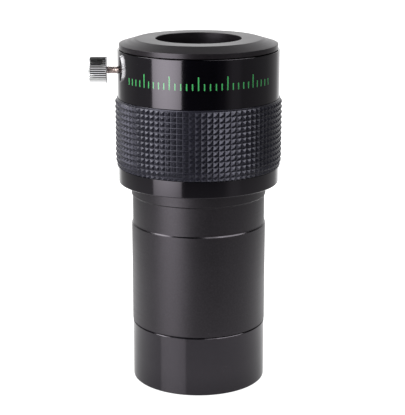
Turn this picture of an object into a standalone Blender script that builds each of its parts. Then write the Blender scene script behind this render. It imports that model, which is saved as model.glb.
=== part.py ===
"""A 2 inch, 2x Barlow lens for telescopes, built as an assembly of turned parts.

The optical axis is Z and the lens cell stands on Z = 0. Sizes are in millimetres and are turned into
metres by MM where geometry is made. Neighbouring pieces keep GAP between their faces.
"""

import math

import bmesh
import bpy

MM = 0.001
GAP = 0.3

# Standard interfaces.
NOSEPIECE_R = 25.4
EYEPIECE_BORE_R = 15.9
TWO_INCH_BORE_R = 25.5
CELL_THREAD_R = 23.9
FILTER_THREAD_R = 23.75
SCREW_THREAD_R = 1.5

# Heights of the seams, from the base.
CELL_TOP = 22.65
CELL_SOCKET_TOP = 28.2
BAFFLE_BOTTOM = 50.0
UNDERCUT_BOTTOM = 61.4
UNDERCUT_TOP = 72.6
SHOULDER = 77.5
NECK_RECESS = 0.8
BORE_FLOOR = 84.8
GRIP_BOTTOM = 83.8
GRIP_TOP = 109.4
SLEEVE_END = 106.0
HOUSING_TOP = 127.27
BEVEL_BOTTOM = 129.35
REDUCER_TOP = 131.2
SCREW_AXIS = 119.3

# Outer radii.
HOUSING_R = 30.08
GRIP_R = 31.2
GRIP_VALLEY_R = 30.6
GRIP_SEAT_R = 29.2
FLANGE_R = 29.43
UNDERCUT_R = 24.97
CELL_R = 25.3
BARREL_BORE_R = 22.0
BARREL_THREAD_R = 23.6
BEVEL_R = 23.3
BAFFLE_OPENING_R = 18.2

# Compression ring, centred on the thumbscrew's height.
RING_R = 26.2
RING_GROOVE_R = RING_R + GAP
RING_HEIGHT = 7.0
RING_BOTTOM = SCREW_AXIS - RING_HEIGHT / 2.0
RING_TOP = SCREW_AXIS + RING_HEIGHT / 2.0
RING_SPLIT = 3.0

# Thumbscrew, distances from the optical axis.
KNOB_R = 4.85
KNOB_INNER = 33.8
KNOB_OUTER = 40.55
KNOB_CHAMFER = 0.45
KNURL_TEETH = 36
KNURL_DEPTH = 0.22
SPIGOT_R = 1.0
SPIGOT_LENGTH = 3.0
PAD_R = 1.3
PAD_LENGTH = 1.0

# Lens doublet: radii of curvature and thicknesses.
LENS_R = 20.7
LENS_BORE_R = LENS_R + GAP
INNER_CURVE = 68.0
NEGATIVE_OUTER_CURVE = 80.0
NEGATIVE_CENTRE = 1.8
POSITIVE_OUTER_CURVE = 115.0
POSITIVE_CENTRE = 4.2
SPACER_HEIGHT = 0.5
RETAINER_BOTTOM = 5.7
RETAINER_TOP = 7.9
LENS_RINGS = 5

# Turned pieces use more flats where they are large.
WIDE_STEPS = 64
NARROW_STEPS = 48
SCREW_STEPS = 24


def sag(curve, r):
    """Depth of a spherical surface of radius curve at distance r from the axis."""
    return curve - math.sqrt(curve * curve - r * r)


# Heights of the lens stack at its rim, from the retainer up.
INNER_SAG = sag(INNER_CURVE, LENS_R)
NEGATIVE_BOTTOM = RETAINER_TOP + GAP
NEGATIVE_TOP = NEGATIVE_BOTTOM + sag(NEGATIVE_OUTER_CURVE, LENS_R) + NEGATIVE_CENTRE + INNER_SAG
SPACER_BOTTOM = NEGATIVE_TOP + GAP
SPACER_TOP = SPACER_BOTTOM + SPACER_HEIGHT
POSITIVE_BOTTOM = SPACER_TOP + 2.0 * GAP
POSITIVE_TOP = POSITIVE_BOTTOM - INNER_SAG + POSITIVE_CENTRE + sag(POSITIVE_OUTER_CURVE, LENS_R)
LENS_SHOULDER = POSITIVE_TOP + GAP


def clear_scene():
    for obj in list(bpy.data.objects):
        bpy.data.objects.remove(obj, do_unlink=True)


def material(name, colour, roughness, metallic):
    """A Principled material with one colour."""
    result = bpy.data.materials.new(name)
    result.use_nodes = True
    shader = result.node_tree.nodes["Principled BSDF"]
    shader.inputs["Base Color"].default_value = (*colour, 1.0)
    shader.inputs["Roughness"].default_value = roughness
    shader.inputs["Metallic"].default_value = metallic
    return result


def add_piece(name, bm, finish, parent=None):
    """Turn a bmesh into a named object with smooth round faces and crisp edges."""
    bmesh.ops.recalc_face_normals(bm, faces=bm.faces)
    mesh = bpy.data.meshes.new(name)
    bm.to_mesh(mesh)
    bm.free()
    mesh.materials.append(finish)
    mesh.shade_smooth()
    mesh.set_sharp_from_angle(angle=math.radians(30.0))
    piece = bpy.data.objects.new(name, mesh)
    bpy.context.scene.collection.objects.link(piece)
    piece.parent = parent
    return piece


def turned(name, outline, steps, finish, parent=None):
    """Spin a closed outline of (radius, height) points once around Z."""
    bm = bmesh.new()
    points = [bm.verts.new((radius * MM, 0.0, height * MM)) for radius, height in outline]
    sides = [bm.edges.new((a, b)) for a, b in zip(points, points[1:] + points[:1])]
    bmesh.ops.spin(
        bm,
        geom=points + sides,
        axis=(0.0, 0.0, 1.0),
        cent=(0.0, 0.0, 0.0),
        angle=2.0 * math.pi,
        steps=steps,
        use_merge=True,
    )
    bmesh.ops.remove_doubles(bm, verts=bm.verts, dist=1e-6)
    bmesh.ops.dissolve_degenerate(bm, edges=bm.edges, dist=1e-6)
    return add_piece(name, bm, finish, parent)


def arc(centre_r, centre_z, radius, start, end, count):
    """Points on an arc in the outline plane, angles in degrees from the outward direction."""
    angles = [math.radians(start + (end - start) * i / count) for i in range(count + 1)]
    return [(centre_r + radius * math.cos(a), centre_z + radius * math.sin(a)) for a in angles]


def cut(piece, cutter):
    """Subtract a cutter, which stays in the scene as a wire guide."""
    cutter.hide_render = True
    cutter.display_type = "WIRE"
    modifier = piece.modifiers.new("cut_" + cutter.name, "BOOLEAN")
    modifier.operation = "DIFFERENCE"
    modifier.solver = "EXACT"
    modifier.object = cutter


def box_cutter(name, size, centre, turn=0.0):
    """A box of the given size whose centre lies at centre, turned about Z by turn degrees."""
    bm = bmesh.new()
    bmesh.ops.create_cube(bm, size=1.0)
    bmesh.ops.scale(bm, vec=[side * MM for side in size], verts=bm.verts)
    bmesh.ops.translate(bm, vec=[place * MM for place in centre], verts=bm.verts)
    mesh = bpy.data.meshes.new(name)
    bm.to_mesh(mesh)
    bm.free()
    cutter = bpy.data.objects.new(name, mesh)
    cutter.rotation_euler = (0.0, 0.0, math.radians(turn))
    bpy.context.scene.collection.objects.link(cutter)
    return cutter


def make_housing(finish, screw_frame):
    """Body with the 2 inch bore, the compression ring groove, the grip seat and the barrel's thread."""
    edge = 0.25
    thread_r = BARREL_THREAD_R + GAP
    recess_r = NOSEPIECE_R + GAP
    recess_top = SHOULDER + NECK_RECESS
    seat_bottom = GRIP_BOTTOM - GAP
    seat_top = GRIP_TOP + GAP
    outline = [
        (thread_r, recess_top),
        (recess_r, recess_top),
        (recess_r, SHOULDER),
        (HOUSING_R - edge, SHOULDER),
        (HOUSING_R, SHOULDER + edge),
        (HOUSING_R, seat_bottom),
        (GRIP_SEAT_R, seat_bottom),
        (GRIP_SEAT_R, seat_top),
        (HOUSING_R, seat_top),
        (HOUSING_R, HOUSING_TOP - edge),
        (HOUSING_R - edge, HOUSING_TOP),
        (TWO_INCH_BORE_R + edge, HOUSING_TOP),
        (TWO_INCH_BORE_R, HOUSING_TOP - edge),
        (TWO_INCH_BORE_R, RING_TOP + GAP),
        (RING_GROOVE_R, RING_TOP + GAP),
        (RING_GROOVE_R, RING_BOTTOM - GAP),
        (TWO_INCH_BORE_R, RING_BOTTOM - GAP),
        (TWO_INCH_BORE_R, BORE_FLOOR),
        (thread_r, BORE_FLOOR),
    ]
    housing = turned("main_housing", outline, WIDE_STEPS, finish)
    hole_r = SCREW_THREAD_R + 0.2
    hole_start = TWO_INCH_BORE_R - 1.5
    hole_end = HOUSING_R + 2.0
    hole = turned(
        "screw_hole",
        [(0.0, hole_start), (hole_r, hole_start), (hole_r, hole_end), (0.0, hole_end)],
        SCREW_STEPS,
        finish,
        screw_frame,
    )
    cut(housing, hole)


def make_grip(finish):
    """Rubber sleeve over the seat, with its crests at GRIP_R and a plain border at each end."""
    bore_r = GRIP_SEAT_R + GAP
    outline = [
        (bore_r, GRIP_BOTTOM),
        (GRIP_VALLEY_R - 0.3, GRIP_BOTTOM),
        (GRIP_VALLEY_R, GRIP_BOTTOM + 0.6),
        (GRIP_R, GRIP_BOTTOM + 1.6),
        (GRIP_R, GRIP_TOP - 0.9),
        (GRIP_VALLEY_R, GRIP_TOP - 0.3),
        (GRIP_VALLEY_R - 0.2, GRIP_TOP),
        (bore_r, GRIP_TOP),
    ]
    turned("grip_sleeve", outline, WIDE_STEPS, finish)


def make_compression_ring(finish):
    """Split ring that the thumbscrew presses inwards, with its split opposite the screw."""
    outline = [
        (TWO_INCH_BORE_R, RING_BOTTOM),
        (RING_R, RING_BOTTOM),
        (RING_R, RING_TOP),
        (TWO_INCH_BORE_R, RING_TOP),
    ]
    ring = turned("compression_ring", outline, WIDE_STEPS, finish)
    size = (6.0, RING_SPLIT, 2.0 * RING_HEIGHT)
    cut(ring, box_cutter("ring_split", size, (RING_R, 0.0, SCREW_AXIS)))


def knurled_loop(bm, radius, depth, height):
    """Closed loop of straight knurling: crests at radius, valleys depth below it."""
    verts = []
    for i in range(2 * KNURL_TEETH):
        angle = math.pi * i / KNURL_TEETH
        r = radius - depth * (i % 2)
        verts.append(bm.verts.new((r * math.cos(angle) * MM, r * math.sin(angle) * MM, height * MM)))
    return verts


def make_thumbscrew(knob_finish, stud_finish, pad_finish, screw_frame):
    """Knob, stud and pad along the screw's own axis, heights measured from the optical axis."""
    end_r = KNOB_R - KNOB_CHAMFER
    spigot_end = KNOB_INNER + SPIGOT_LENGTH
    bm = bmesh.new()
    loops = [
        knurled_loop(bm, SPIGOT_R + GAP, 0.0, spigot_end + GAP),
        knurled_loop(bm, SPIGOT_R + GAP, 0.0, KNOB_INNER),
        knurled_loop(bm, end_r, 0.0, KNOB_INNER),
        knurled_loop(bm, KNOB_R, KNURL_DEPTH, KNOB_INNER + KNOB_CHAMFER),
        knurled_loop(bm, KNOB_R, KNURL_DEPTH, KNOB_OUTER - KNOB_CHAMFER),
        knurled_loop(bm, end_r, 0.0, KNOB_OUTER),
    ]
    for lower, upper in zip(loops, loops[1:]):
        count = len(lower)
        for i in range(count):
            j = (i + 1) % count
            bm.faces.new((lower[i], lower[j], upper[j], upper[i]))
    bm.faces.new(loops[0])
    bm.faces.new(loops[-1])
    add_piece("thumbscrew_knob", bm, knob_finish, screw_frame)

    stud_r = SCREW_THREAD_R - 0.05
    pad_inner = RING_R + GAP
    pad_outer = pad_inner + PAD_LENGTH
    stud_tip = pad_outer + GAP
    stud_outline = [
        (0.0, stud_tip),
        (stud_r - 0.3, stud_tip),
        (stud_r, stud_tip + 0.3),
        (stud_r, KNOB_INNER - GAP),
        (SPIGOT_R, KNOB_INNER - GAP),
        (SPIGOT_R, spigot_end),
        (0.0, spigot_end),
    ]
    turned("thumbscrew_stud", stud_outline, SCREW_STEPS, stud_finish, screw_frame)
    pad_outline = [(0.0, pad_inner), (PAD_R, pad_inner), (PAD_R, pad_outer), (0.0, pad_outer)]
    turned("thumbscrew_pad", pad_outline, SCREW_STEPS, pad_finish, screw_frame)


def make_reducer(finish):
    """2 inch to 1.25 inch reducer: bevelled flange, and a sleeve slotted into three jaws."""
    sleeve_r = TWO_INCH_BORE_R - GAP
    flange_bottom = HOUSING_TOP + GAP
    hinge_r = 17.9
    hinge_bottom = 124.3
    hinge_top = 126.6
    edge = 0.4
    outline = [
        (EYEPIECE_BORE_R + edge, SLEEVE_END),
        (sleeve_r - edge, SLEEVE_END),
        (sleeve_r, SLEEVE_END + edge),
        (sleeve_r, hinge_bottom),
        (hinge_r, hinge_bottom),
        (hinge_r, hinge_top),
        (sleeve_r, hinge_top),
        (sleeve_r, flange_bottom),
        (FLANGE_R, flange_bottom),
        (FLANGE_R, BEVEL_BOTTOM),
        (BEVEL_R, REDUCER_TOP),
        (EYEPIECE_BORE_R + 0.15, REDUCER_TOP),
        (EYEPIECE_BORE_R, REDUCER_TOP - 0.15),
        (EYEPIECE_BORE_R, SLEEVE_END + edge),
    ]
    reducer = turned("reducer", outline, WIDE_STEPS, finish)
    slot_width = 1.5
    slot_floor = SLEEVE_END - 1.0
    slot_top = hinge_top - 0.8
    slot_reach = 16.0
    size = (slot_reach, slot_width, slot_top - slot_floor)
    centre = ((EYEPIECE_BORE_R + sleeve_r) / 2.0, 0.0, (slot_floor + slot_top) / 2.0)
    for i in range(3):
        cut(reducer, box_cutter(f"jaw_slot_{i + 1}", size, centre, 62.0 + 120.0 * i))


def make_barrel(finish):
    """Nosepiece tube: full diameter, a shallow safety undercut, a short neck, threads at both ends."""
    edge = 0.25
    cell_socket_r = CELL_THREAD_R + GAP
    bottom = CELL_TOP + GAP
    neck_top = SHOULDER + NECK_RECESS - GAP
    top = BORE_FLOOR - 0.6
    step = NOSEPIECE_R - UNDERCUT_R
    outline = [
        (NOSEPIECE_R - edge, bottom),
        (NOSEPIECE_R, bottom + edge),
        (NOSEPIECE_R, UNDERCUT_BOTTOM),
        (UNDERCUT_R, UNDERCUT_BOTTOM + step),
        (UNDERCUT_R, UNDERCUT_TOP),
        (NOSEPIECE_R, UNDERCUT_TOP + step),
        (NOSEPIECE_R, neck_top),
        (BARREL_THREAD_R, neck_top),
        (BARREL_THREAD_R, top - edge),
        (BARREL_THREAD_R - edge, top),
        (BARREL_BORE_R, top),
        (BARREL_BORE_R, CELL_SOCKET_TOP),
        (cell_socket_r, CELL_SOCKET_TOP),
        (cell_socket_r, bottom),
    ]
    turned("barrel_tube", outline, WIDE_STEPS, finish)


def make_baffle(finish):
    """Glare stop with a knife edge that opens towards the eyepiece."""
    outer_r = BARREL_BORE_R - GAP
    thickness = 2.4
    knife_edge = 0.4
    outline = [
        (BAFFLE_OPENING_R, BAFFLE_BOTTOM),
        (outer_r, BAFFLE_BOTTOM),
        (outer_r, BAFFLE_BOTTOM + thickness),
        (BAFFLE_OPENING_R + thickness - knife_edge, BAFFLE_BOTTOM + thickness),
        (BAFFLE_OPENING_R, BAFFLE_BOTTOM + knife_edge),
    ]
    turned("baffle_ring", outline, NARROW_STEPS, finish)


def lens_outline(bottom_height, top_height):
    """Outline of a lens from its two surface heights as functions of the radius."""
    radii = [LENS_R * i / LENS_RINGS for i in range(LENS_RINGS + 1)]
    bottom = [(r, bottom_height(r)) for r in radii]
    top = [(r, top_height(r)) for r in reversed(radii)]
    return bottom + top


def make_doublet(negative_finish, positive_finish, spacer_finish, retainer_finish):
    """Biconcave element, spacer and meniscus, held up against the cell's shoulder by a ring."""
    negative = lens_outline(
        lambda r: NEGATIVE_BOTTOM + sag(NEGATIVE_OUTER_CURVE, LENS_R) - sag(NEGATIVE_OUTER_CURVE, r),
        lambda r: NEGATIVE_TOP - INNER_SAG + sag(INNER_CURVE, r),
    )
    turned("negative_element", negative, NARROW_STEPS, negative_finish)
    positive = lens_outline(
        lambda r: POSITIVE_BOTTOM - INNER_SAG + sag(INNER_CURVE, r),
        lambda r: POSITIVE_TOP - sag(POSITIVE_OUTER_CURVE, LENS_R) + sag(POSITIVE_OUTER_CURVE, r),
    )
    turned("positive_element", positive, NARROW_STEPS, positive_finish)

    spacer_r = LENS_R - 0.1
    spacer_bore_r = 19.6
    spacer = [
        (spacer_bore_r, SPACER_BOTTOM),
        (spacer_r, SPACER_BOTTOM),
        (spacer_r, SPACER_TOP),
        (spacer_bore_r, SPACER_TOP),
    ]
    turned("element_spacer", spacer, NARROW_STEPS, spacer_finish)

    retainer_r = 21.3
    retainer_bore_r = 19.2
    bevel = 0.8
    retainer = [
        (retainer_bore_r + bevel, RETAINER_BOTTOM),
        (retainer_r, RETAINER_BOTTOM),
        (retainer_r, RETAINER_TOP),
        (retainer_bore_r, RETAINER_TOP),
        (retainer_bore_r, RETAINER_BOTTOM + bevel),
    ]
    ring = turned("lens_retainer", retainer, NARROW_STEPS, retainer_finish)
    slot = box_cutter("spanner_slot", (60.0, 1.4, 1.6), (0.0, 0.0, RETAINER_BOTTOM))
    cut(ring, slot)


def make_lens_cell(finish):
    """Lower section: filter thread at the mouth, lens bore, shoulder, and the thread into the tube."""
    round_r = 0.6
    edge = 0.3
    retainer_thread_r = 21.6
    shoulder_bore_r = 19.4
    spigot_top = 27.6
    outline = [
        (FILTER_THREAD_R + edge, 0.0),
        *arc(CELL_R - round_r, round_r, round_r, -90.0, 0.0, 3),
        (CELL_R, CELL_TOP - edge),
        (CELL_R - edge, CELL_TOP),
        (CELL_THREAD_R, CELL_TOP),
        (CELL_THREAD_R, spigot_top - edge),
        (CELL_THREAD_R - edge, spigot_top),
        (shoulder_bore_r + 2.0, spigot_top),
        (shoulder_bore_r, LENS_SHOULDER + 1.2),
        (shoulder_bore_r, LENS_SHOULDER),
        (LENS_BORE_R, LENS_SHOULDER),
        (LENS_BORE_R, RETAINER_TOP),
        (retainer_thread_r, RETAINER_TOP),
        (retainer_thread_r, RETAINER_BOTTOM - GAP),
        (FILTER_THREAD_R, RETAINER_BOTTOM - GAP),
        (FILTER_THREAD_R, edge),
    ]
    turned("lens_cell", outline, WIDE_STEPS, finish)


def main():
    clear_scene()
    gloss_black = material("gloss_black_anodised", (0.012, 0.012, 0.014), 0.12, 0.0)
    satin_black = material("satin_black_anodised", (0.035, 0.034, 0.037), 0.42, 0.0)
    flat_black = material("flat_black_paint", (0.010, 0.010, 0.010), 0.85, 0.0)
    rubber = material("grip_rubber", (0.030, 0.031, 0.038), 0.55, 0.0)
    chrome = material("chrome_plate", (0.80, 0.80, 0.80), 0.12, 1.0)
    brass = material("brass", (0.72, 0.52, 0.28), 0.30, 1.0)
    nylon = material("nylon", (0.85, 0.84, 0.80), 0.45, 0.0)
    coated_glass = material("coated_glass", (0.55, 0.75, 0.62), 0.02, 0.0)

    screw_frame = bpy.data.objects.new("thumbscrew_axis", None)
    screw_frame.location = (0.0, 0.0, SCREW_AXIS * MM)
    screw_frame.rotation_euler = (0.0, math.radians(-90.0), 0.0)
    bpy.context.scene.collection.objects.link(screw_frame)

    make_housing(gloss_black, screw_frame)
    make_grip(rubber)
    make_compression_ring(brass)
    make_thumbscrew(chrome, brass, nylon, screw_frame)
    make_reducer(satin_black)
    make_barrel(satin_black)
    make_baffle(flat_black)
    make_doublet(coated_glass, coated_glass, flat_black, flat_black)
    make_lens_cell(gloss_black)


main()
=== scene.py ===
"""A 2 inch Barlow lens standing on a white table under soft studio light.

Each CAD node is replaced by a finer mesh of the same piece, made here from an outline that is turned
around the optical axis, which is Z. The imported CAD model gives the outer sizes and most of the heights,
and the rest are named values in millimetres. A corner of an outline is (radius, height, edge rounding).
"""

import math

import bmesh
import bpy
from mathutils import Matrix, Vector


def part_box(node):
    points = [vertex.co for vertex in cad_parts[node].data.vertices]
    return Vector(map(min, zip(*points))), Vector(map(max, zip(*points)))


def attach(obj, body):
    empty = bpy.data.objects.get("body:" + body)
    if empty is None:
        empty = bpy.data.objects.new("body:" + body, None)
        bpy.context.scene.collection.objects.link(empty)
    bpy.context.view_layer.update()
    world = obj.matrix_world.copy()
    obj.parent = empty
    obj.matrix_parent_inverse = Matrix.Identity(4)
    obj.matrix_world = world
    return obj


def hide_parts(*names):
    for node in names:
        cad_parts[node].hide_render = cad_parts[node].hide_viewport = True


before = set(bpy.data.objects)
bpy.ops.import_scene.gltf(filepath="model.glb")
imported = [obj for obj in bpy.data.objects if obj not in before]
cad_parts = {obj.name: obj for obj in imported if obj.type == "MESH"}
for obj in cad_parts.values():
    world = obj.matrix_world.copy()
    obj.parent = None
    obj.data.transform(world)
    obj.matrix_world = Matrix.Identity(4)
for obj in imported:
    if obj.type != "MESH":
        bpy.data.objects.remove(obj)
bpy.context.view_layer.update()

MM = 0.001
TURN = 2.0 * math.pi
SHARP_ANGLE = 35.0


def top_of(node):
    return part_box(node)[1].z / MM


def bottom_of(node):
    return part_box(node)[0].z / MM


def radius_of(node):
    """Outer radius of a round piece, from its reach along Y."""
    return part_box(node)[1].y / MM


# Sizes in millimetres that more than one piece needs. GAP is the clearance between neighbouring pieces.
GAP = 0.3
TWO_INCH_BORE = 25.5
THREAD_PITCH = 0.75
UNDERCUT_R = 24.97
UNDERCUT_BOTTOM = 61.4
UNDERCUT_TOP = 72.5

# From the thumbscrew's own frame, where Z points outwards along the screw, to the row frame.
SCREW_HEIGHT = 0.5 * (bottom_of("thumbscrew_knob") + top_of("thumbscrew_knob"))
SCREW_PLACE = Matrix.Translation((0.0, 0.0, SCREW_HEIGHT * MM)) @ Matrix.Rotation(-0.25 * TURN, 4, "Y")


# ---------------------------------------------------------------- mesh helpers


def rounded(corners, segments=3):
    """Points of a closed outline with each corner replaced by a tangent arc of its own radius."""
    points = []
    count = len(corners)
    for i, (r, z, radius) in enumerate(corners):
        if radius <= 0.0:
            points.append((r, z))
            continue
        before = corners[i - 1]
        after = corners[(i + 1) % count]
        a = (before[0] - r, before[1] - z)
        b = (after[0] - r, after[1] - z)
        length_a = math.hypot(*a)
        length_b = math.hypot(*b)
        a = (a[0] / length_a, a[1] / length_a)
        b = (b[0] / length_b, b[1] / length_b)
        half = math.acos(max(-1.0, min(1.0, a[0] * b[0] + a[1] * b[1]))) / 2.0
        reach = min(radius / math.tan(half), 0.45 * length_a, 0.45 * length_b)
        radius = reach * math.tan(half)
        middle = (a[0] + b[0], a[1] + b[1])
        scale = radius / math.sin(half) / math.hypot(*middle)
        centre = (r + middle[0] * scale, z + middle[1] * scale)
        start = math.atan2(z + a[1] * reach - centre[1], r + a[0] * reach - centre[0])
        end = math.atan2(z + b[1] * reach - centre[1], r + b[0] * reach - centre[0])
        sweep = (end - start + math.pi) % TURN - math.pi
        for k in range(segments + 1):
            angle = start + sweep * k / segments
            points.append((centre[0] + radius * math.cos(angle), centre[1] + radius * math.sin(angle)))
    return points


def add_mesh(name, verts, faces, material, sharp_angle=SHARP_ANGLE):
    """Link a smooth-shaded mesh whose edges steeper than the sharp angle stay crisp."""
    mesh = bpy.data.meshes.new(name)
    mesh.from_pydata(verts, [], faces)
    bm = bmesh.new()
    bm.from_mesh(mesh)
    bmesh.ops.remove_doubles(bm, verts=bm.verts, dist=1e-7)
    bmesh.ops.dissolve_degenerate(bm, edges=bm.edges, dist=1e-7)
    bmesh.ops.recalc_face_normals(bm, faces=bm.faces)
    bm.to_mesh(mesh)
    bm.free()
    mesh.shade_smooth()
    mesh.set_sharp_from_angle(angle=math.radians(sharp_angle))
    mesh.materials.append(material)
    piece = bpy.data.objects.new(name, mesh)
    bpy.context.scene.collection.objects.link(piece)
    return piece


def keep_flats_flat(piece):
    """Wide faces keep their own normal, and only the small rounded edges bend the light."""
    modifier = piece.modifiers.new("normals", "WEIGHTED_NORMAL")
    modifier.keep_sharp = True
    return piece


def cut_away(piece, cutters):
    """Cut solid shapes out of a piece, keep the result as its own mesh and delete the cutters."""
    piece.modifiers.clear()
    for cutter in cutters:
        cut = piece.modifiers.new("cut", "BOOLEAN")
        cut.operation = "DIFFERENCE"
        cut.solver = "EXACT"
        cut.object = cutter
    bpy.context.view_layer.update()
    depsgraph = bpy.context.evaluated_depsgraph_get()
    mesh = bpy.data.meshes.new_from_object(piece.evaluated_get(depsgraph), depsgraph=depsgraph)
    piece.modifiers.clear()
    bm = bmesh.new()
    bm.from_mesh(mesh)
    bmesh.ops.remove_doubles(bm, verts=bm.verts, dist=1e-6)
    bmesh.ops.dissolve_degenerate(bm, edges=bm.edges, dist=1e-6)
    bm.to_mesh(mesh)
    bm.free()
    mesh.set_sharp_from_angle(angle=math.radians(SHARP_ANGLE))
    piece.data = mesh
    for cutter in cutters:
        bpy.data.objects.remove(cutter)
    keep_flats_flat(piece)


def turned(name, outline, steps, material, shape=None, place=None, sharp_angle=SHARP_ANGLE):
    """Turn a closed outline of (radius, height) points around Z, then put the piece at a place.

    shape(angle, r, z) may give each point another radius, for a thread.
    """
    count = len(outline)
    verts = []
    for i in range(steps):
        angle = TURN * i / steps
        for r, z in outline:
            radius = shape(angle, r, z) if shape else r
            verts.append((radius * math.cos(angle) * MM, radius * math.sin(angle) * MM, z * MM))
    faces = []
    for i in range(steps):
        here = i * count
        there = (i + 1) % steps * count
        for j in range(count):
            k = (j + 1) % count
            on_axis = outline[j][0] < 1e-9 and outline[k][0] < 1e-9
            if not on_axis:
                faces.append((here + j, there + j, there + k, here + k))
    piece = add_mesh(name, verts, faces, material, sharp_angle)
    if place:
        piece.matrix_world = place
    return keep_flats_flat(piece)


def threaded_rows(r, bottom, top, pitch, rows_per_pitch=8):
    """Evenly spaced outline points along a thread, from bottom to top."""
    count = max(2, round((top - bottom) / pitch * rows_per_pitch))
    return [(r, bottom + (top - bottom) * i / count) for i in range(count + 1)]


def thread_shape(major, bottom, top, pitch, depth):
    """Shape function of a right-handed V thread between two heights, fading out at both ends.

    A positive depth cuts inwards from an outside thread's crests, a negative one outwards into a bore.
    """

    def shape(angle, r, z):
        if abs(r - major) > 1e-6 or not bottom - 1e-6 <= z <= top + 1e-6:
            return r
        phase = ((z - bottom) / pitch - angle / TURN) % 1.0
        groove = 1.0 - abs(2.0 * phase - 1.0)
        fade = min(1.0, (z - bottom) / (0.6 * pitch), (top - z) / (0.6 * pitch))
        return r - depth * min(1.0, 1.3 * groove) * max(0.0, fade)

    return shape


def both_threads(outside, inside):
    """One shape function for a piece with a thread outside and another one in its bore."""
    return lambda angle, r, z: inside(angle, outside(angle, r, z), z)


# ---------------------------------------------------------------- node trees


class Tree:
    """Short calls for the nodes that materials, lights and the world share."""

    def __init__(self, owner):
        owner.use_nodes = True
        self.tree = owner.node_tree

    def math(self, operation, *values):
        node = self.tree.nodes.new("ShaderNodeMath")
        node.operation = operation
        for i, value in enumerate(values):
            if isinstance(value, (int, float)):
                node.inputs[i].default_value = value
            else:
                self.tree.links.new(value, node.inputs[i])
        return node.outputs[0]

    def between(self, value, low, high, to_low=0.0, to_high=1.0):
        """Map a value from one range to another, held at the ends."""
        node = self.tree.nodes.new("ShaderNodeMapRange")
        node.clamp = True
        self.tree.links.new(value, node.inputs["Value"])
        node.inputs["From Min"].default_value = low
        node.inputs["From Max"].default_value = high
        node.inputs["To Min"].default_value = to_low
        node.inputs["To Max"].default_value = to_high
        return node.outputs["Result"]

    def split(self, vector):
        node = self.tree.nodes.new("ShaderNodeSeparateXYZ")
        self.tree.links.new(vector, node.inputs[0])
        return node.outputs

    def ramp(self, value, stops):
        """Grey levels between stops of (position, level)."""
        node = self.tree.nodes.new("ShaderNodeValToRGB")
        self.tree.links.new(value, node.inputs["Fac"])
        elements = node.color_ramp.elements
        elements[0].position = stops[0][0]
        elements[1].position = stops[-1][0]
        for position, _ in stops[1:-1]:
            elements.new(position)
        for element, (_, level) in zip(elements, stops):
            element.color = (level, level, level, 1.0)
        return node.outputs["Color"]

    def seen_by_camera(self):
        return self.tree.nodes.new("ShaderNodeLightPath").outputs["Is Camera Ray"]


class Material(Tree):
    """Short calls for building one procedural material."""

    def __init__(self, name):
        self.material = bpy.data.materials.new(name)
        super().__init__(self.material)
        self.shader = self.tree.nodes["Principled BSDF"]
        self.coordinates = self.tree.nodes.new("ShaderNodeTexCoord").outputs["Object"]

    def set(self, **values):
        for name, value in values.items():
            self.shader.inputs[name.replace("_", " ")].default_value = value
        return self

    def link(self, source, socket):
        self.tree.links.new(source, self.shader.inputs[socket])

    def axes(self):
        """The point's x, y and z in millimetres."""
        return [self.math("MULTIPLY", output, 1000.0) for output in self.split(self.coordinates)]

    def noise(self, scale, detail=3.0, stretch=(1.0, 1.0, 1.0), roughness=0.55):
        """Noise with scale features per metre along each axis, times the stretch."""
        mapping = self.tree.nodes.new("ShaderNodeMapping")
        mapping.inputs["Scale"].default_value = stretch
        self.tree.links.new(self.coordinates, mapping.inputs["Vector"])
        node = self.tree.nodes.new("ShaderNodeTexNoise")
        node.inputs["Scale"].default_value = scale
        node.inputs["Detail"].default_value = detail
        node.inputs["Roughness"].default_value = roughness
        self.tree.links.new(mapping.outputs["Vector"], node.inputs["Vector"])
        return node.outputs["Fac"]

    def mix(self, factor, first, second):
        """Blend two colours, each a tuple or another node's output."""
        node = self.tree.nodes.new("ShaderNodeMix")
        node.data_type = "RGBA"
        self.tree.links.new(factor, node.inputs["Factor"])
        for socket, value in ((node.inputs[6], first), (node.inputs[7], second)):
            if isinstance(value, tuple):
                socket.default_value = (*value, 1.0)
            else:
                self.tree.links.new(value, socket)
        return node.outputs[2]

    def bump(self, height, distance):
        node = self.tree.nodes.new("ShaderNodeBump")
        node.inputs["Distance"].default_value = distance
        node.inputs["Strength"].default_value = 1.0
        self.tree.links.new(height, node.inputs["Height"])
        self.link(node.outputs["Normal"], "Normal")


# ---------------------------------------------------------------- materials


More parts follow.
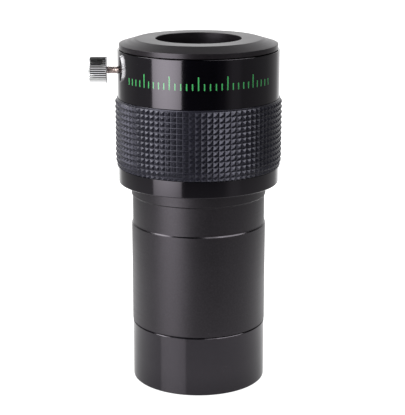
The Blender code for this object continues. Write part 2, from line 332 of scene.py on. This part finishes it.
def anodised(name, dark, light, roughness, spread, line_depth, glossy_bands=()):
    """Black anodised aluminium with lathe rings, fine grain, faint cloudiness and a few specks of dust.

    A glossy band is (lowest, highest, how much smoother), for a freshly turned edge.
    """
    nodes = Material(name)
    rings = nodes.noise(2600.0, 2.0, (0.012, 0.012, 1.0), 0.7)
    cloud = nodes.noise(45.0, 4.0)
    grain = nodes.noise(1500.0, 2.0)
    mottle = nodes.math("ADD", nodes.math("MULTIPLY", grain, 0.75), nodes.math("MULTIPLY", cloud, 0.25))
    tone = nodes.mix(nodes.between(mottle, 0.40, 0.60), dark, light)
    specks = nodes.between(nodes.noise(1500.0, 1.0), 0.77, 0.84)
    dust = tuple(0.02 + 3.0 * channel for channel in light)
    nodes.link(nodes.mix(specks, tone, dust), "Base Color")
    polish = nodes.math("ADD", nodes.math("MULTIPLY", rings, 0.6), nodes.math("MULTIPLY", cloud, 0.4))
    gloss = nodes.between(polish, 0.3, 0.7, roughness - spread, roughness + spread)
    for lowest, highest, smoother in glossy_bands:
        z = nodes.axes()[2]
        above = nodes.math("GREATER_THAN", z, lowest)
        below = nodes.math("LESS_THAN", z, highest)
        inside = nodes.math("MULTIPLY", above, below)
        gloss = nodes.math("SUBTRACT", gloss, nodes.math("MULTIPLY", inside, smoother))
    nodes.link(gloss, "Roughness")
    nodes.bump(rings, line_depth)
    nodes.set(Metallic=0.0, IOR=1.5, Specular_Tint=(0.97, 0.89, 1.0, 1.0))
    return nodes


def index_marks(nodes, under, lowest):
    """Plain green graduations round the front of the body: short strokes, every fifth one taller."""
    green = (0.050, 0.32, 0.095)
    spacing = math.radians(4.0)
    reach = math.radians(58.0)
    half_width = 0.22
    soft_edge = 0.04
    short_stroke = 2.4
    x, y, z = nodes.axes()
    angle = nodes.math("ARCTAN2", x, nodes.math("MULTIPLY", y, -1.0))
    number = nodes.math("ROUND", nodes.math("DIVIDE", angle, spacing))
    offset = nodes.math("SUBTRACT", angle, nodes.math("MULTIPLY", number, spacing))
    beside = nodes.math("MULTIPLY", nodes.math("ABSOLUTE", offset), radius_of("main_housing"))
    on_stroke = nodes.between(beside, half_width - soft_edge, half_width + soft_edge, 1.0, 0.0)
    fifth = nodes.math("COMPARE", nodes.math("PINGPONG", number, 2.5), 0.0, 0.25)
    top = nodes.math("ADD", lowest + short_stroke, nodes.math("MULTIPLY", fifth, short_stroke))
    above = nodes.math("GREATER_THAN", z, lowest)
    below = nodes.math("LESS_THAN", z, top)
    in_height = nodes.math("MULTIPLY", above, below)
    in_reach = nodes.math("LESS_THAN", nodes.math("ABSOLUTE", angle), reach)
    in_place = nodes.math("MULTIPLY", in_height, in_reach)
    return nodes.mix(nodes.math("MULTIPLY", in_place, on_stroke), under, green)


def make_gloss_black():
    """The housing's finish, with the graduations in the middle of its upper band."""
    dark = (0.0004, 0.0003, 0.0009)
    light = (0.0008, 0.0007, 0.0015)
    nodes = anodised("gloss_black_anodised", dark, light, 0.095, 0.012, 0.0000016)
    plain = nodes.shader.inputs["Base Color"].links[0].from_socket
    lowest = 0.5 * (top_of("grip_sleeve") + top_of("main_housing")) - 1.8
    nodes.link(index_marks(nodes, plain, lowest), "Base Color")
    return nodes.material


def make_satin_black():
    """The nosepiece tube's finish. The chamfers at both ends of the undercut are smoother."""
    dark = (0.0002, 0.0001, 0.0003)
    light = (0.0052, 0.0047, 0.0056)
    smoother = 0.21
    chamfer = radius_of("barrel_tube") - UNDERCUT_R
    lower = (UNDERCUT_BOTTOM, UNDERCUT_BOTTOM + chamfer + 0.02, smoother)
    upper = (UNDERCUT_TOP - 0.05, UNDERCUT_TOP + chamfer + 0.02, smoother)
    nodes = anodised("satin_black_anodised", dark, light, 0.40, 0.04, 0.000004, (lower, upper))
    return nodes.material


def make_cell_black():
    dark = (0.0035, 0.0032, 0.0045)
    light = (0.0070, 0.0064, 0.0080)
    return anodised("cell_black_anodised", dark, light, 0.11, 0.02, 0.000002).material


def make_flange_black():
    """The reducer's finish. The rim of its flange is smoother than the bevel above it."""
    dark = (0.0050, 0.0042, 0.0050)
    light = (0.0090, 0.0076, 0.0090)
    rim = (top_of("main_housing"), top_of("reducer") - 1.9, 0.06)
    nodes = anodised("flange_black_anodised", dark, light, 0.35, 0.04, 0.000004, (rim,))
    return nodes.set(IOR=1.42).material


def make_flat_black():
    dark = (0.006, 0.006, 0.006)
    light = (0.012, 0.012, 0.012)
    return anodised("flat_black_paint", dark, light, 0.80, 0.08, 0.00001).material


def make_rubber():
    nodes = Material("grip_rubber")
    cloud = nodes.noise(120.0, 5.0)
    grain = nodes.noise(3800.0, 3.0)
    tone = nodes.mix(nodes.between(cloud, 0.35, 0.65), (0.0035, 0.0034, 0.0065), (0.0070, 0.0068, 0.0115))
    dusty = nodes.math("MULTIPLY", nodes.between(nodes.noise(650.0, 4.0), 0.56, 0.72), 0.30)
    nodes.link(nodes.mix(dusty, tone, (0.032, 0.031, 0.044)), "Base Color")
    nodes.link(nodes.between(grain, 0.3, 0.7, 0.27, 0.38), "Roughness")
    nodes.bump(grain, 0.00001)
    nodes.set(IOR=1.5, Specular_Tint=(0.84, 0.83, 1.0, 1.0))
    return nodes.material


def make_metal(name, dark, light, roughness, spread, wear_depth):
    nodes = Material(name)
    wear = nodes.noise(900.0, 4.0)
    nodes.link(nodes.mix(nodes.between(wear, 0.35, 0.65), dark, light), "Base Color")
    nodes.link(nodes.between(wear, 0.3, 0.7, roughness - spread, roughness + spread), "Roughness")
    nodes.bump(wear, wear_depth)
    nodes.set(Metallic=1.0)
    return nodes.material


def make_glass():
    """Polished glass with a green anti-reflection coating and a faint smear."""
    nodes = Material("coated_glass")
    smear = nodes.noise(60.0, 3.0)
    tone = nodes.mix(nodes.between(smear, 0.35, 0.65), (0.90, 0.97, 0.92), (0.94, 0.98, 0.97))
    nodes.link(tone, "Base Color")
    nodes.link(nodes.between(smear, 0.4, 0.8, 0.004, 0.03), "Roughness")
    nodes.set(IOR=1.52, Transmission_Weight=1.0)
    nodes.set(Specular_Tint=(0.45, 0.95, 0.62, 1.0))
    return nodes.material


def make_nylon():
    nodes = Material("white_nylon")
    cloud = nodes.noise(900.0, 3.0)
    nodes.link(nodes.mix(cloud, (0.72, 0.70, 0.64), (0.84, 0.83, 0.79)), "Base Color")
    nodes.link(nodes.between(cloud, 0.3, 0.7, 0.35, 0.50), "Roughness")
    nodes.bump(cloud, 0.00001)
    return nodes.material


# ---------------------------------------------------------------- pieces


def finish_piece(piece, body, nodes):
    """Put the piece on the body it rides and hide the CAD nodes it replaces."""
    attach(piece, body)
    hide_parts(*nodes)


def subdivided(outline, levels):
    """Add points on the vertical stretches, so that a cut disturbs only the faces beside it."""
    result = []
    for i, (r, z) in enumerate(outline):
        result.append((r, z))
        next_r, next_z = outline[(i + 1) % len(outline)]
        if abs(next_r - r) > 1e-6:
            continue
        inner = [level for level in levels if min(z, next_z) + 0.2 < level < max(z, next_z) - 0.2]
        result += [(r, level) for level in sorted(inner, reverse=next_z < z)]
    return result


def slot_cutter(size, centre, degrees):
    """A box turned about the optical axis."""
    bm = bmesh.new()
    bmesh.ops.create_cube(bm, size=1.0)
    bmesh.ops.scale(bm, vec=[side * MM for side in size], verts=bm.verts)
    bmesh.ops.translate(bm, vec=[place * MM for place in centre], verts=bm.verts)
    mesh = bpy.data.meshes.new("slot_cutter")
    bm.to_mesh(mesh)
    bm.free()
    cutter = bpy.data.objects.new("slot_cutter", mesh)
    cutter.rotation_euler = (0.0, 0.0, math.radians(degrees))
    bpy.context.scene.collection.objects.link(cutter)
    return cutter


def make_housing(material):
    """Body: a seat for the grip, the ring's groove in the 2 inch bore, and the screw's hole."""
    shoulder = bottom_of("main_housing")
    top = top_of("main_housing")
    outer = radius_of("main_housing")
    seat_r = 29.2
    seat_bottom = bottom_of("grip_sleeve") - 0.15
    seat_top = top_of("grip_sleeve") + 0.15
    groove_r = 26.5
    groove_bottom = bottom_of("compression_ring") - GAP
    groove_top = top_of("compression_ring") + GAP
    thread_r = 23.9
    bore_floor = top_of("barrel_tube") + 2.0 * GAP
    recess_r = radius_of("barrel_tube") + 0.08
    recess_top = shoulder + 0.8
    hole_r = 1.7
    hole_start = 24.0
    hole_end = 34.0
    corners = [
        (thread_r, recess_top, 0.0),
        (recess_r, recess_top, 0.0),
        (recess_r, shoulder, 0.1),
        (outer, shoulder, 0.35),
        (outer, seat_bottom, 0.12),
        (seat_r, seat_bottom, 0.0),
        (seat_r, seat_top, 0.0),
        (outer, seat_top, 0.12),
        (outer, top, 0.28),
        (TWO_INCH_BORE, top, 0.25),
        (TWO_INCH_BORE, groove_top, 0.05),
        (groove_r, groove_top, 0.0),
        (groove_r, groove_bottom, 0.0),
        (TWO_INCH_BORE, groove_bottom, 0.05),
        (TWO_INCH_BORE, bore_floor, 0.0),
        (thread_r, bore_floor, 0.1),
    ]
    levels = [SCREW_HEIGHT + offset for offset in (-2.6, -2.0, 2.0, 2.6)]
    outline = subdivided(rounded(corners), levels)
    piece = turned("body_housing", outline, 288, material)
    hole = [(0.0, hole_start), (hole_r, hole_start), (hole_r, hole_end), (0.0, hole_end)]
    cut_away(piece, [turned("screw_hole_cutter", hole, 48, material, None, SCREW_PLACE)])
    finish_piece(piece, "body", ["main_housing"])


def make_grip(material):
    """Rubber sleeve moulded with rows of square pyramids between two plain borders.

    A line of the profile is (height, radius, False) on a border and (height, rise, True) in the pattern.
    """
    low = bottom_of("grip_sleeve") - 0.1
    high = top_of("grip_sleeve") + 0.1
    inner = 29.35
    lower_border_r = 30.10
    upper_border_r = 30.45
    columns = 88
    rows = 12
    first_column = 0.39
    field_bottom = low + 1.25
    field_top = high - 0.47
    valley = 30.38
    crest = radius_of("grip_sleeve") - 0.05
    pitch = (field_top - field_bottom) / rows
    valley_half = 0.08
    top_half = 0.03
    lean = 0.45
    lean_rows = 1.4
    marks = [
        (valley_half / pitch, 0.0),
        (0.5 - top_half / pitch, 1.0),
        (0.5 + top_half / pitch, 1.0),
        (1.0 - valley_half / pitch, 0.0),
    ]
    lines = [
        (low, inner, False),
        (low, lower_border_r - 0.15, False),
        (low + 0.1, lower_border_r, False),
    ]
    half_row = [(place - 1.0, rise) for place, rise in marks if place > 0.5]
    field = half_row + [(row + place, rise) for row in range(rows) for place, rise in marks]
    lines += [(field_bottom + pitch * place, rise, True) for place, rise in field]
    lines += [
        (field_top, upper_border_r, False),
        (high - 0.12, upper_border_r, False),
        (high, upper_border_r - 0.2, False),
        (high, inner, False),
    ]
    around = [(first_column + column + place, rise) for column in range(columns) for place, rise in marks]

    def taper(z):
        """The lowest rows lean in a little, where the sleeve rolls over the edge of its seat."""
        return lean * max(0.0, 1.0 - (z - low) / (lean_rows * pitch))

    verts = []
    for place, across in around:
        angle = TURN * place / columns
        for z, value, patterned in lines:
            r = valley + (crest - valley) * min(across, value) - taper(z) if patterned else value
            verts.append((r * math.cos(angle) * MM, r * math.sin(angle) * MM, z * MM))
    count = len(lines)
    faces = []
    for i, (_, across) in enumerate(around):
        here = i * count
        there = (i + 1) % len(around) * count
        next_across = around[(i + 1) % len(around)][1]
        for j in range(count):
            k = (j + 1) % count
            a, b, c, d = here + j, there + j, there + k, here + k
            slanted = lines[j][2] and lines[k][2] and across != next_across and lines[j][1] != lines[k][1]
            if not slanted:
                faces.append((a, b, c, d))
            elif (across < next_across) == (lines[j][1] < lines[k][1]):
                faces += [(a, b, c), (a, c, d)]
            else:
                faces += [(a, b, d), (b, c, d)]
    piece = add_mesh("rubber_grip", verts, faces, material, 20.0)
    finish_piece(piece, "body", ["grip_sleeve"])


def make_compression_ring(material):
    """Thin brass ring, split at one side so that the screw can close it."""
    low = bottom_of("compression_ring")
    high = top_of("compression_ring")
    outer = radius_of("compression_ring")
    inner = TWO_INCH_BORE
    split = 3.0
    outline = rounded([(inner, low, 0.12), (outer, low, 0.15), (outer, high, 0.15), (inner, high, 0.12)])
    half_gap = math.asin(0.5 * split / outer)
    steps = 160
    count = len(outline)
    verts = []
    for i in range(steps + 1):
        angle = half_gap + (TURN - 2.0 * half_gap) * i / steps
        verts += [(r * math.cos(angle) * MM, r * math.sin(angle) * MM, z * MM) for r, z in outline]
    faces = [tuple(range(count)), tuple(steps * count + j for j in range(count))]
    for i in range(steps):
        for j in range(count):
            k = (j + 1) % count
            faces.append((i * count + j, (i + 1) * count + j, (i + 1) * count + k, i * count + k))
    piece = keep_flats_flat(add_mesh("brass_ring", verts, faces, material))
    finish_piece(piece, "body", ["compression_ring"])


def make_knob(material):
    """Knurled head: straight rounded ridges, chamfered ends, a turned dish in the outer face.

    A ring is (radius, height, share of the knurling's depth).
    """
    inner = -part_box("thumbscrew_knob")[1].x / MM
    outer = -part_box("thumbscrew_knob")[0].x / MM
    radius = 0.5 * (top_of("thumbscrew_knob") - bottom_of("thumbscrew_knob"))
    teeth = 36
    depth = 0.22
    chamfer = 0.30
    bore = 1.3
    bore_depth = 3.2
    dish_r = radius - 1.30
    dish_depth = 0.15
    centre_r = 0.9
    centre_depth = 0.22
    rings = [
        (bore, inner + bore_depth, 0.0),
        (bore, inner, 0.0),
        (radius - chamfer - 0.05, inner, 0.0),
        (radius - 0.5 * chamfer, inner + 0.5 * chamfer, 0.3),
        (radius - 0.04, inner + chamfer, 1.0),
        (radius, inner + chamfer + 0.10, 1.0),
        (radius, outer - chamfer - 0.10, 1.0),
        (radius - 0.04, outer - chamfer, 1.0),
        (radius - 0.5 * chamfer, outer - 0.5 * chamfer, 0.3),
        (radius - chamfer - 0.05, outer, 0.0),
        (dish_r + dish_depth, outer, 0.0),
        (dish_r, outer - dish_depth, 0.0),
        (centre_r, outer - centre_depth, 0.0),
    ]
    per_tooth = 8
    steps = teeth * per_tooth
    verts = []
    for r, z, cut in rings:
        for i in range(steps):
            angle = TURN * i / steps
            groove = (0.5 - 0.5 * math.cos(TURN * i / per_tooth)) ** 2.0
            radius_here = r - depth * cut * groove
            verts.append((radius_here * math.cos(angle) * MM, radius_here * math.sin(angle) * MM, z * MM))
    faces = [tuple(range(steps)), tuple((len(rings) - 1) * steps + i for i in range(steps))]
    for j in range(len(rings) - 1):
        for i in range(steps):
            k = (i + 1) % steps
            faces.append((j * steps + i, j * steps + k, (j + 1) * steps + k, (j + 1) * steps + i))
    piece = keep_flats_flat(add_mesh("screw_knob", verts, faces, material, 30.0))
    piece.matrix_world = SCREW_PLACE
    finish_piece(piece, "thumbscrew", ["thumbscrew_knob"])


def make_stud(material):
    """Stud with a real helical M3 thread and a plain spigot inside the knob."""
    tip = -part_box("thumbscrew_stud")[1].x / MM
    end = -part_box("thumbscrew_stud")[0].x / MM
    shoulder = -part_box("thumbscrew_knob")[1].x / MM - 0.05
    major = radius_of("thumbscrew_stud")
    neck = major - 0.2
    spigot = 1.0
    pitch = 0.5
    bottom = tip + 0.3
    top = shoulder - 0.3
    outline = [(0.0, tip), (major - 0.35, tip)]
    outline += threaded_rows(major, bottom, top, pitch, 10)
    outline += [(neck, top + 0.1), (neck, shoulder), (spigot, shoulder), (spigot, end), (0.0, end)]
    shape = thread_shape(major, bottom, top, pitch, 0.30)
    piece = turned("screw_stud", outline, 48, material, shape, SCREW_PLACE, 50.0)
    finish_piece(piece, "thumbscrew", ["thumbscrew_stud"])


def make_pad(material):
    inner = -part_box("thumbscrew_pad")[1].x / MM
    outer = -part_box("thumbscrew_pad")[0].x / MM
    radius = 1.3
    corners = [(0.0, inner, 0.0), (radius, inner, 0.2), (radius, outer, 0.2), (0.0, outer, 0.0)]
    piece = turned("screw_pad", rounded(corners), 48, material, None, SCREW_PLACE)
    finish_piece(piece, "screw_tip", ["thumbscrew_pad"])


def make_reducer(material):
    """Bevelled flange over a sleeve that three slots turn into spring jaws."""
    low = bottom_of("reducer")
    top = top_of("reducer")
    outer = radius_of("reducer")
    bore = 15.9
    sleeve = 25.2
    groove_r = 17.9
    groove_bottom = 124.3
    groove_top = 126.6
    flange = top_of("main_housing") + 0.22
    bevel_r = 23.3
    slot_top = 125.8
    slot_length = 20.8
    corners = [
        (bore, low, 0.35),
        (sleeve, low, 0.40),
        (sleeve, groove_bottom, 0.08),
        (groove_r, groove_bottom, 0.0),
        (groove_r, groove_top, 0.0),
        (sleeve, groove_top, 0.08),
        (sleeve, flange, 0.0),
        (outer, flange, 0.12),
        (outer, top - 1.85, 0.14),
        (bevel_r, top, 0.16),
        (bore, top, 0.22),
    ]
    outline = subdivided(rounded(corners), [low + 0.9, slot_top - 0.2, slot_top + 0.2])
    piece = turned("eyepiece_reducer", outline, 288, material)
    slot_size = (16.0, 1.5, slot_length)
    slot_centre = (20.5, 0.0, slot_top - 0.5 * slot_length)
    cut_away(piece, [slot_cutter(slot_size, slot_centre, 62.0 + 120.0 * i) for i in range(3)])
    finish_piece(piece, "reducer", ["reducer"])


def make_barrel(material):
    """Nosepiece tube: undercut, neck, an outside thread above and an inside thread below."""
    low = bottom_of("barrel_tube")
    top = top_of("barrel_tube")
    outer = radius_of("barrel_tube")
    chamfer = outer - UNDERCUT_R
    male = 23.6
    male_bottom = bottom_of("main_housing") + 0.65
    male_top = top - 0.3
    bore = 22.0
    female = 24.2
    female_bottom = low + 0.3
    socket_top = 28.2
    female_top = socket_top - 0.6
    corners = [
        (outer, low, 0.38),
        (outer, UNDERCUT_BOTTOM, 0.05),
        (UNDERCUT_R, UNDERCUT_BOTTOM + chamfer, 0.05),
        (UNDERCUT_R, UNDERCUT_TOP, 0.05),
        (outer, UNDERCUT_TOP + chamfer, 0.05),
        (outer, male_bottom, 0.12),
    ]
    corners += [(r, z, 0.0) for r, z in threaded_rows(male, male_bottom, male_top, THREAD_PITCH)]
    corners += [
        (male - 0.3, top, 0.0),
        (bore, top, 0.1),
        (bore, socket_top, 0.1),
        (female, socket_top, 0.0),
    ]
    socket = threaded_rows(female, female_bottom, female_top, THREAD_PITCH)
    corners += [(r, z, 0.0) for r, z in reversed(socket)]
    corners += [(female + 0.25, low, 0.0)]
    outside = thread_shape(male, male_bottom, male_top, THREAD_PITCH, 0.35)
    inside = thread_shape(female, female_bottom, female_top, THREAD_PITCH, -0.30)
    shape = both_threads(outside, inside)
    piece = turned("nosepiece_tube", rounded(corners), 240, material, shape)
    finish_piece(piece, "body", ["barrel_tube"])


def make_baffle(material):
    """Glare stop whose opening has a thin edge below a wide cone."""
    low = bottom_of("baffle_ring")
    high = top_of("baffle_ring")
    outer = radius_of("baffle_ring")
    stop_r = 18.2
    cone_r = 20.2
    edge = 0.4
    corners = [
        (stop_r, low, 0.05),
        (outer, low, 0.15),
        (outer, high, 0.15),
        (cone_r, high, 0.05),
        (stop_r, low + edge, 0.0),
    ]
    piece = turned("glare_baffle", rounded(corners), 192, material)
    finish_piece(piece, "body", ["baffle_ring"])


def make_lens_cell(material):
    """Lower section with a filter thread in its mouth and a thread on the spigot above."""
    low = bottom_of("lens_cell")
    high = top_of("lens_cell")
    outer = radius_of("lens_cell")
    seam = bottom_of("barrel_tube") - 0.08
    chamfer = 0.48
    male = 23.9
    male_bottom = seam + 0.5
    male_top = high - 0.4
    bell_r = 21.4
    stop_r = 19.4
    stop_depth = 1.2
    lens_r = radius_of("negative_element") + GAP
    lens_stop = top_of("positive_element") + GAP
    ring_r = radius_of("lens_retainer") + GAP
    ring_low = bottom_of("lens_retainer") - GAP
    ring_high = top_of("lens_retainer")
    female = 23.75
    female_bottom = low + 0.35
    female_top = ring_low - 0.4
    outside = [
        (female + 0.35, low, 0.0),
        (outer, low, 0.6),
        (outer, seam - chamfer, 0.04),
        (outer - chamfer, seam, 0.04),
        (male, seam, 0.0),
    ]
    inside = [
        (male - 0.3, high),
        (bell_r, high),
        (stop_r, lens_stop + stop_depth),
        (stop_r, lens_stop),
        (lens_r, lens_stop),
        (lens_r, ring_high),
        (ring_r, ring_high),
        (ring_r, ring_low),
        (female, ring_low),
    ]
    spigot = threaded_rows(male, male_bottom, male_top, THREAD_PITCH)
    mouth = threaded_rows(female, female_bottom, female_top, THREAD_PITCH)
    outline = rounded(outside) + spigot + inside + mouth[::-1]
    spigot_shape = thread_shape(male, male_bottom, male_top, THREAD_PITCH, 0.35)
    mouth_shape = thread_shape(female, female_bottom, female_top, THREAD_PITCH, -0.30)
    shape = both_threads(spigot_shape, mouth_shape)
    piece = turned("lens_cell_body", outline, 240, material, shape)
    finish_piece(piece, "cell", ["lens_cell"])


def sag(curve, r):
    """How far a sphere has dropped at a distance from its axis."""
    return curve - math.sqrt(curve * curve - r * r)


def make_lens(name, node, bottom_curve, top_curve, material):
    """A lens from two spherical faces. A positive curve bulges out of the glass, a negative is hollow."""
    edge_r = radius_of(node)
    low = bottom_of(node)
    high = top_of(node)
    bottom_edge = low + (sag(bottom_curve, edge_r) if bottom_curve > 0.0 else 0.0)
    top_edge = high - (sag(top_curve, edge_r) if top_curve > 0.0 else 0.0)
    bevel = 0.25
    count = 20
    radii = [(edge_r - bevel) * i / count for i in range(count + 1)]

    def face(edge, curve, direction, r):
        bulge = sag(abs(curve), edge_r) - sag(abs(curve), r)
        return edge + direction * math.copysign(bulge, curve)

    bottom = [(r, face(bottom_edge, bottom_curve, -1.0, r)) for r in radii]
    top = [(r, face(top_edge, top_curve, 1.0, r)) for r in reversed(radii)]
    outline = bottom + [(edge_r, bottom_edge + bevel), (edge_r, top_edge - bevel)] + top
    piece = turned(name, outline, 128, material)
    finish_piece(piece, "doublet", [node])


def make_spacer(material):
    low = bottom_of("element_spacer")
    high = top_of("element_spacer")
    outer = radius_of("element_spacer")
    inner = 19.6
    corners = [(inner, low, 0.05), (outer, low, 0.05), (outer, high, 0.05), (inner, high, 0.05)]
    piece = turned("lens_spacer", rounded(corners), 128, material)
    finish_piece(piece, "doublet", ["element_spacer"])


def make_retainer(material):
    """Ring that holds the glass in the cell, with two spanner slots across its lower face."""
    low = bottom_of("lens_retainer")
    high = top_of("lens_retainer")
    outer = radius_of("lens_retainer")
    inner = 19.2
    corners = [
        (inner + 0.8, low, 0.08),
        (outer, low, 0.10),
        (outer, high, 0.10),
        (inner, high, 0.05),
        (inner, low + 0.8, 0.08),
    ]
    piece = turned("retaining_ring", rounded(corners), 192, material)
    cut_away(piece, [slot_cutter((60.0, 1.4, 1.6), (0.0, 0.0, low), 0.0)])
    finish_piece(piece, "cell", ["lens_retainer"])


def make_pieces():
    chrome = make_metal("chrome_plate", (0.90, 0.90, 0.91), (0.97, 0.97, 0.98), 0.12, 0.03, 0.0000002)
    brass = make_metal("brass", (0.42, 0.30, 0.20), (0.66, 0.50, 0.34), 0.30, 0.08, 0.000002)
    dull = make_metal("dull_screw_metal", (0.50, 0.42, 0.40), (0.88, 0.80, 0.77), 0.24, 0.08, 0.000001)
    flat = make_flat_black()
    glass = make_glass()
    make_housing(make_gloss_black())
    make_grip(make_rubber())
    make_compression_ring(brass)
    make_knob(chrome)
    make_stud(dull)
    make_pad(make_nylon())
    make_reducer(make_flange_black())
    make_barrel(make_satin_black())
    make_baffle(flat)
    make_lens_cell(make_cell_black())
    make_lens("negative_lens", "negative_element", -80.0, -68.0, glass)
    make_lens("positive_lens", "positive_element", 68.0, -115.0, glass)
    make_spacer(flat)
    make_retainer(flat)


# ---------------------------------------------------------------- studio


def make_floor():
    """Round glossy table top that glows: an even white to the camera, and to the object a painted pool of
    light, brightest near it with painted shade at its foot, and brighter behind it than in front.
    """
    bm = bmesh.new()
    bmesh.ops.create_circle(bm, cap_ends=True, radius=0.30, segments=128)
    mesh = bpy.data.meshes.new("table_top")
    bm.to_mesh(mesh)
    bm.free()
    floor = bpy.data.objects.new("table_top", mesh)
    bpy.context.scene.collection.objects.link(floor)
    nodes = Material("white_table_painted_glow")
    x, y, _ = nodes.axes()
    square = nodes.math("ADD", nodes.math("POWER", x, 2.0), nodes.math("POWER", y, 2.0))
    distance = nodes.math("SQRT", square)
    # Painted light: the glow fades with distance from the object, painted shade dims it close round the
    # foot, and it is stronger behind the object.
    painted_light_pool = nodes.between(distance, 45.0, 300.0, 0.74, 0.15)
    painted_contact_shade = nodes.between(distance, 20.0, 45.0, 0.65, 1.0)
    near = nodes.math("MULTIPLY", painted_light_pool, painted_contact_shade)
    bearing = nodes.math("DIVIDE", y, nodes.math("MAXIMUM", distance, 1.0))
    rearward = nodes.between(bearing, -1.0, 0.75, -0.05, 1.5)
    share = nodes.math("MULTIPLY", rearward, nodes.between(distance, 50.0, 130.0))
    glow = nodes.math("MULTIPLY", near, nodes.math("ADD", share, 1.0))
    # The camera sees at least an even white, and only reflections see the painted glow.
    nodes.link(nodes.math("MAXIMUM", glow, nodes.seen_by_camera()), "Emission Strength")
    nodes.set(Base_Color=(0.16, 0.16, 0.16, 1.0), Roughness=0.10, Emission_Color=(1.0, 1.0, 1.0, 1.0))
    mesh.materials.append(nodes.material)


def make_world():
    """White surroundings behind the object, dimmer ones at its sides and darkness around the camera.

    The levels round the horizon run from behind the object, over its left, the camera and its right.
    """
    world = bpy.data.worlds.new("studio")
    bpy.context.scene.world = world
    nodes = Tree(world)
    background = nodes.tree.nodes["Background"]
    background.inputs["Color"].default_value = (1.0, 1.0, 1.0, 1.0)
    x, y, z = nodes.split(nodes.tree.nodes.new("ShaderNodeTexCoord").outputs["Generated"])
    azimuth = nodes.math("ARCTAN2", x, nodes.math("MULTIPLY", y, -1.0))
    turn = nodes.math("ADD", nodes.math("DIVIDE", azimuth, TURN), 0.5)
    brightest = 2.0
    round_levels = [
        (-180, 1.6),
        (-158, 1.3),
        (-142, 0.55),
        (-125, 0.36),
        (-95, 0.36),
        (-75, 0.45),
        (-30, 0.25),
        (-18, 0.03),
        (22, 0.03),
        (36, 0.08),
        (48, 0.36),
        (58, 0.36),
        (64, 0.25),
        (110, 0.27),
        (125, 0.36),
        (142, 0.55),
        (158, 1.3),
        (180, 1.6),
    ]
    stops = [((degrees + 180.0) / 360.0, level / brightest) for degrees, level in round_levels]
    around = nodes.ramp(turn, stops)
    height = nodes.math("ADD", nodes.math("MULTIPLY", z, 0.5), 0.5)
    rise = nodes.ramp(height, [(0.0, 0.6), (0.5, 1.0), (0.64, 1.0), (0.75, 0.3), (0.87, 0.03), (1.0, 0.01)])
    beyond_table = nodes.ramp(height, [(0.0, 0.085), (0.380, 0.085), (0.398, 0.0), (1.0, 0.0)])
    share = nodes.math("ADD", nodes.math("MULTIPLY", around, rise), beyond_table)
    studio = nodes.math("MULTIPLY", share, brightest)
    strength = nodes.math("MAXIMUM", studio, nodes.seen_by_camera())
    nodes.tree.links.new(strength, background.inputs["Strength"])


def add_softbox(name, azimuth, elevation, distance, width, height, radiance):
    """Area light facing the middle of the object. Azimuth 0 is at the camera, positive to the right."""
    centre = 0.06
    around = math.radians(azimuth)
    up = math.radians(elevation)
    light = bpy.data.lights.new(name, "AREA")
    light.shape = "RECTANGLE"
    light.size = width
    light.size_y = height
    light.energy = radiance * math.pi * width * height
    lamp = bpy.data.objects.new(name, light)
    flat = distance * math.cos(up)
    lamp.location = (flat * math.sin(around), -flat * math.cos(around), centre + distance * math.sin(up))
    lamp.rotation_euler = (math.radians(90.0) - up, 0.0, around)
    lamp.visible_camera = False
    bpy.context.scene.collection.objects.link(lamp)
    return light


def soften_edges(light, fade_below):
    """Make a light brightest along its middle, and dimmer towards its sides and below a height share."""
    nodes = Tree(light)
    place = nodes.tree.nodes.new("ShaderNodeNewGeometry").outputs["Parametric"]
    across, upwards, _ = nodes.split(place)
    aside = nodes.math("POWER", nodes.between(across, 0.0, 1.0, -1.0, 1.0), 2.0)
    level_across = nodes.between(aside, 0.0, 1.0, 1.12, 0.72)
    level_upwards = nodes.between(upwards, fade_below - 0.15, fade_below, 0.3, 1.0)
    strength = nodes.math("MULTIPLY", level_across, level_upwards)
    nodes.tree.links.new(strength, nodes.tree.nodes["Emission"].inputs["Strength"])


def make_camera():
    """Long lens in front of the object, a little above it and looking slightly down."""
    tilt = math.radians(14.75)
    camera = bpy.data.cameras.new("camera")
    camera.sensor_width = 36.0
    camera.lens = 115.7
    camera.shift_x = 0.0095
    camera.clip_start = 0.01
    view = bpy.data.objects.new("camera", camera)
    view.location = (0.0, -0.4915, 0.1959)
    view.rotation_euler = (math.radians(90.0) - tilt, 0.0, 0.0)
    bpy.context.scene.collection.objects.link(view)
    bpy.context.scene.camera = view


make_pieces()
make_floor()
make_world()
soften_edges(add_softbox("softbox_left", -45.2, 8.0, 0.9, 0.74, 1.1, 6.4), 0.30)
add_softbox("softbox_top_right", 76.0, 52.0, 1.0, 0.72, 0.35, 5.6)
add_softbox("softbox_top_front", 44.0, 66.0, 1.0, 0.40, 0.30, 3.5)
add_softbox("softbox_top_left", -98.0, 52.0, 1.0, 0.56, 0.36, 9.0)
make_camera()
bpy.context.scene.view_settings.view_transform = "Standard"
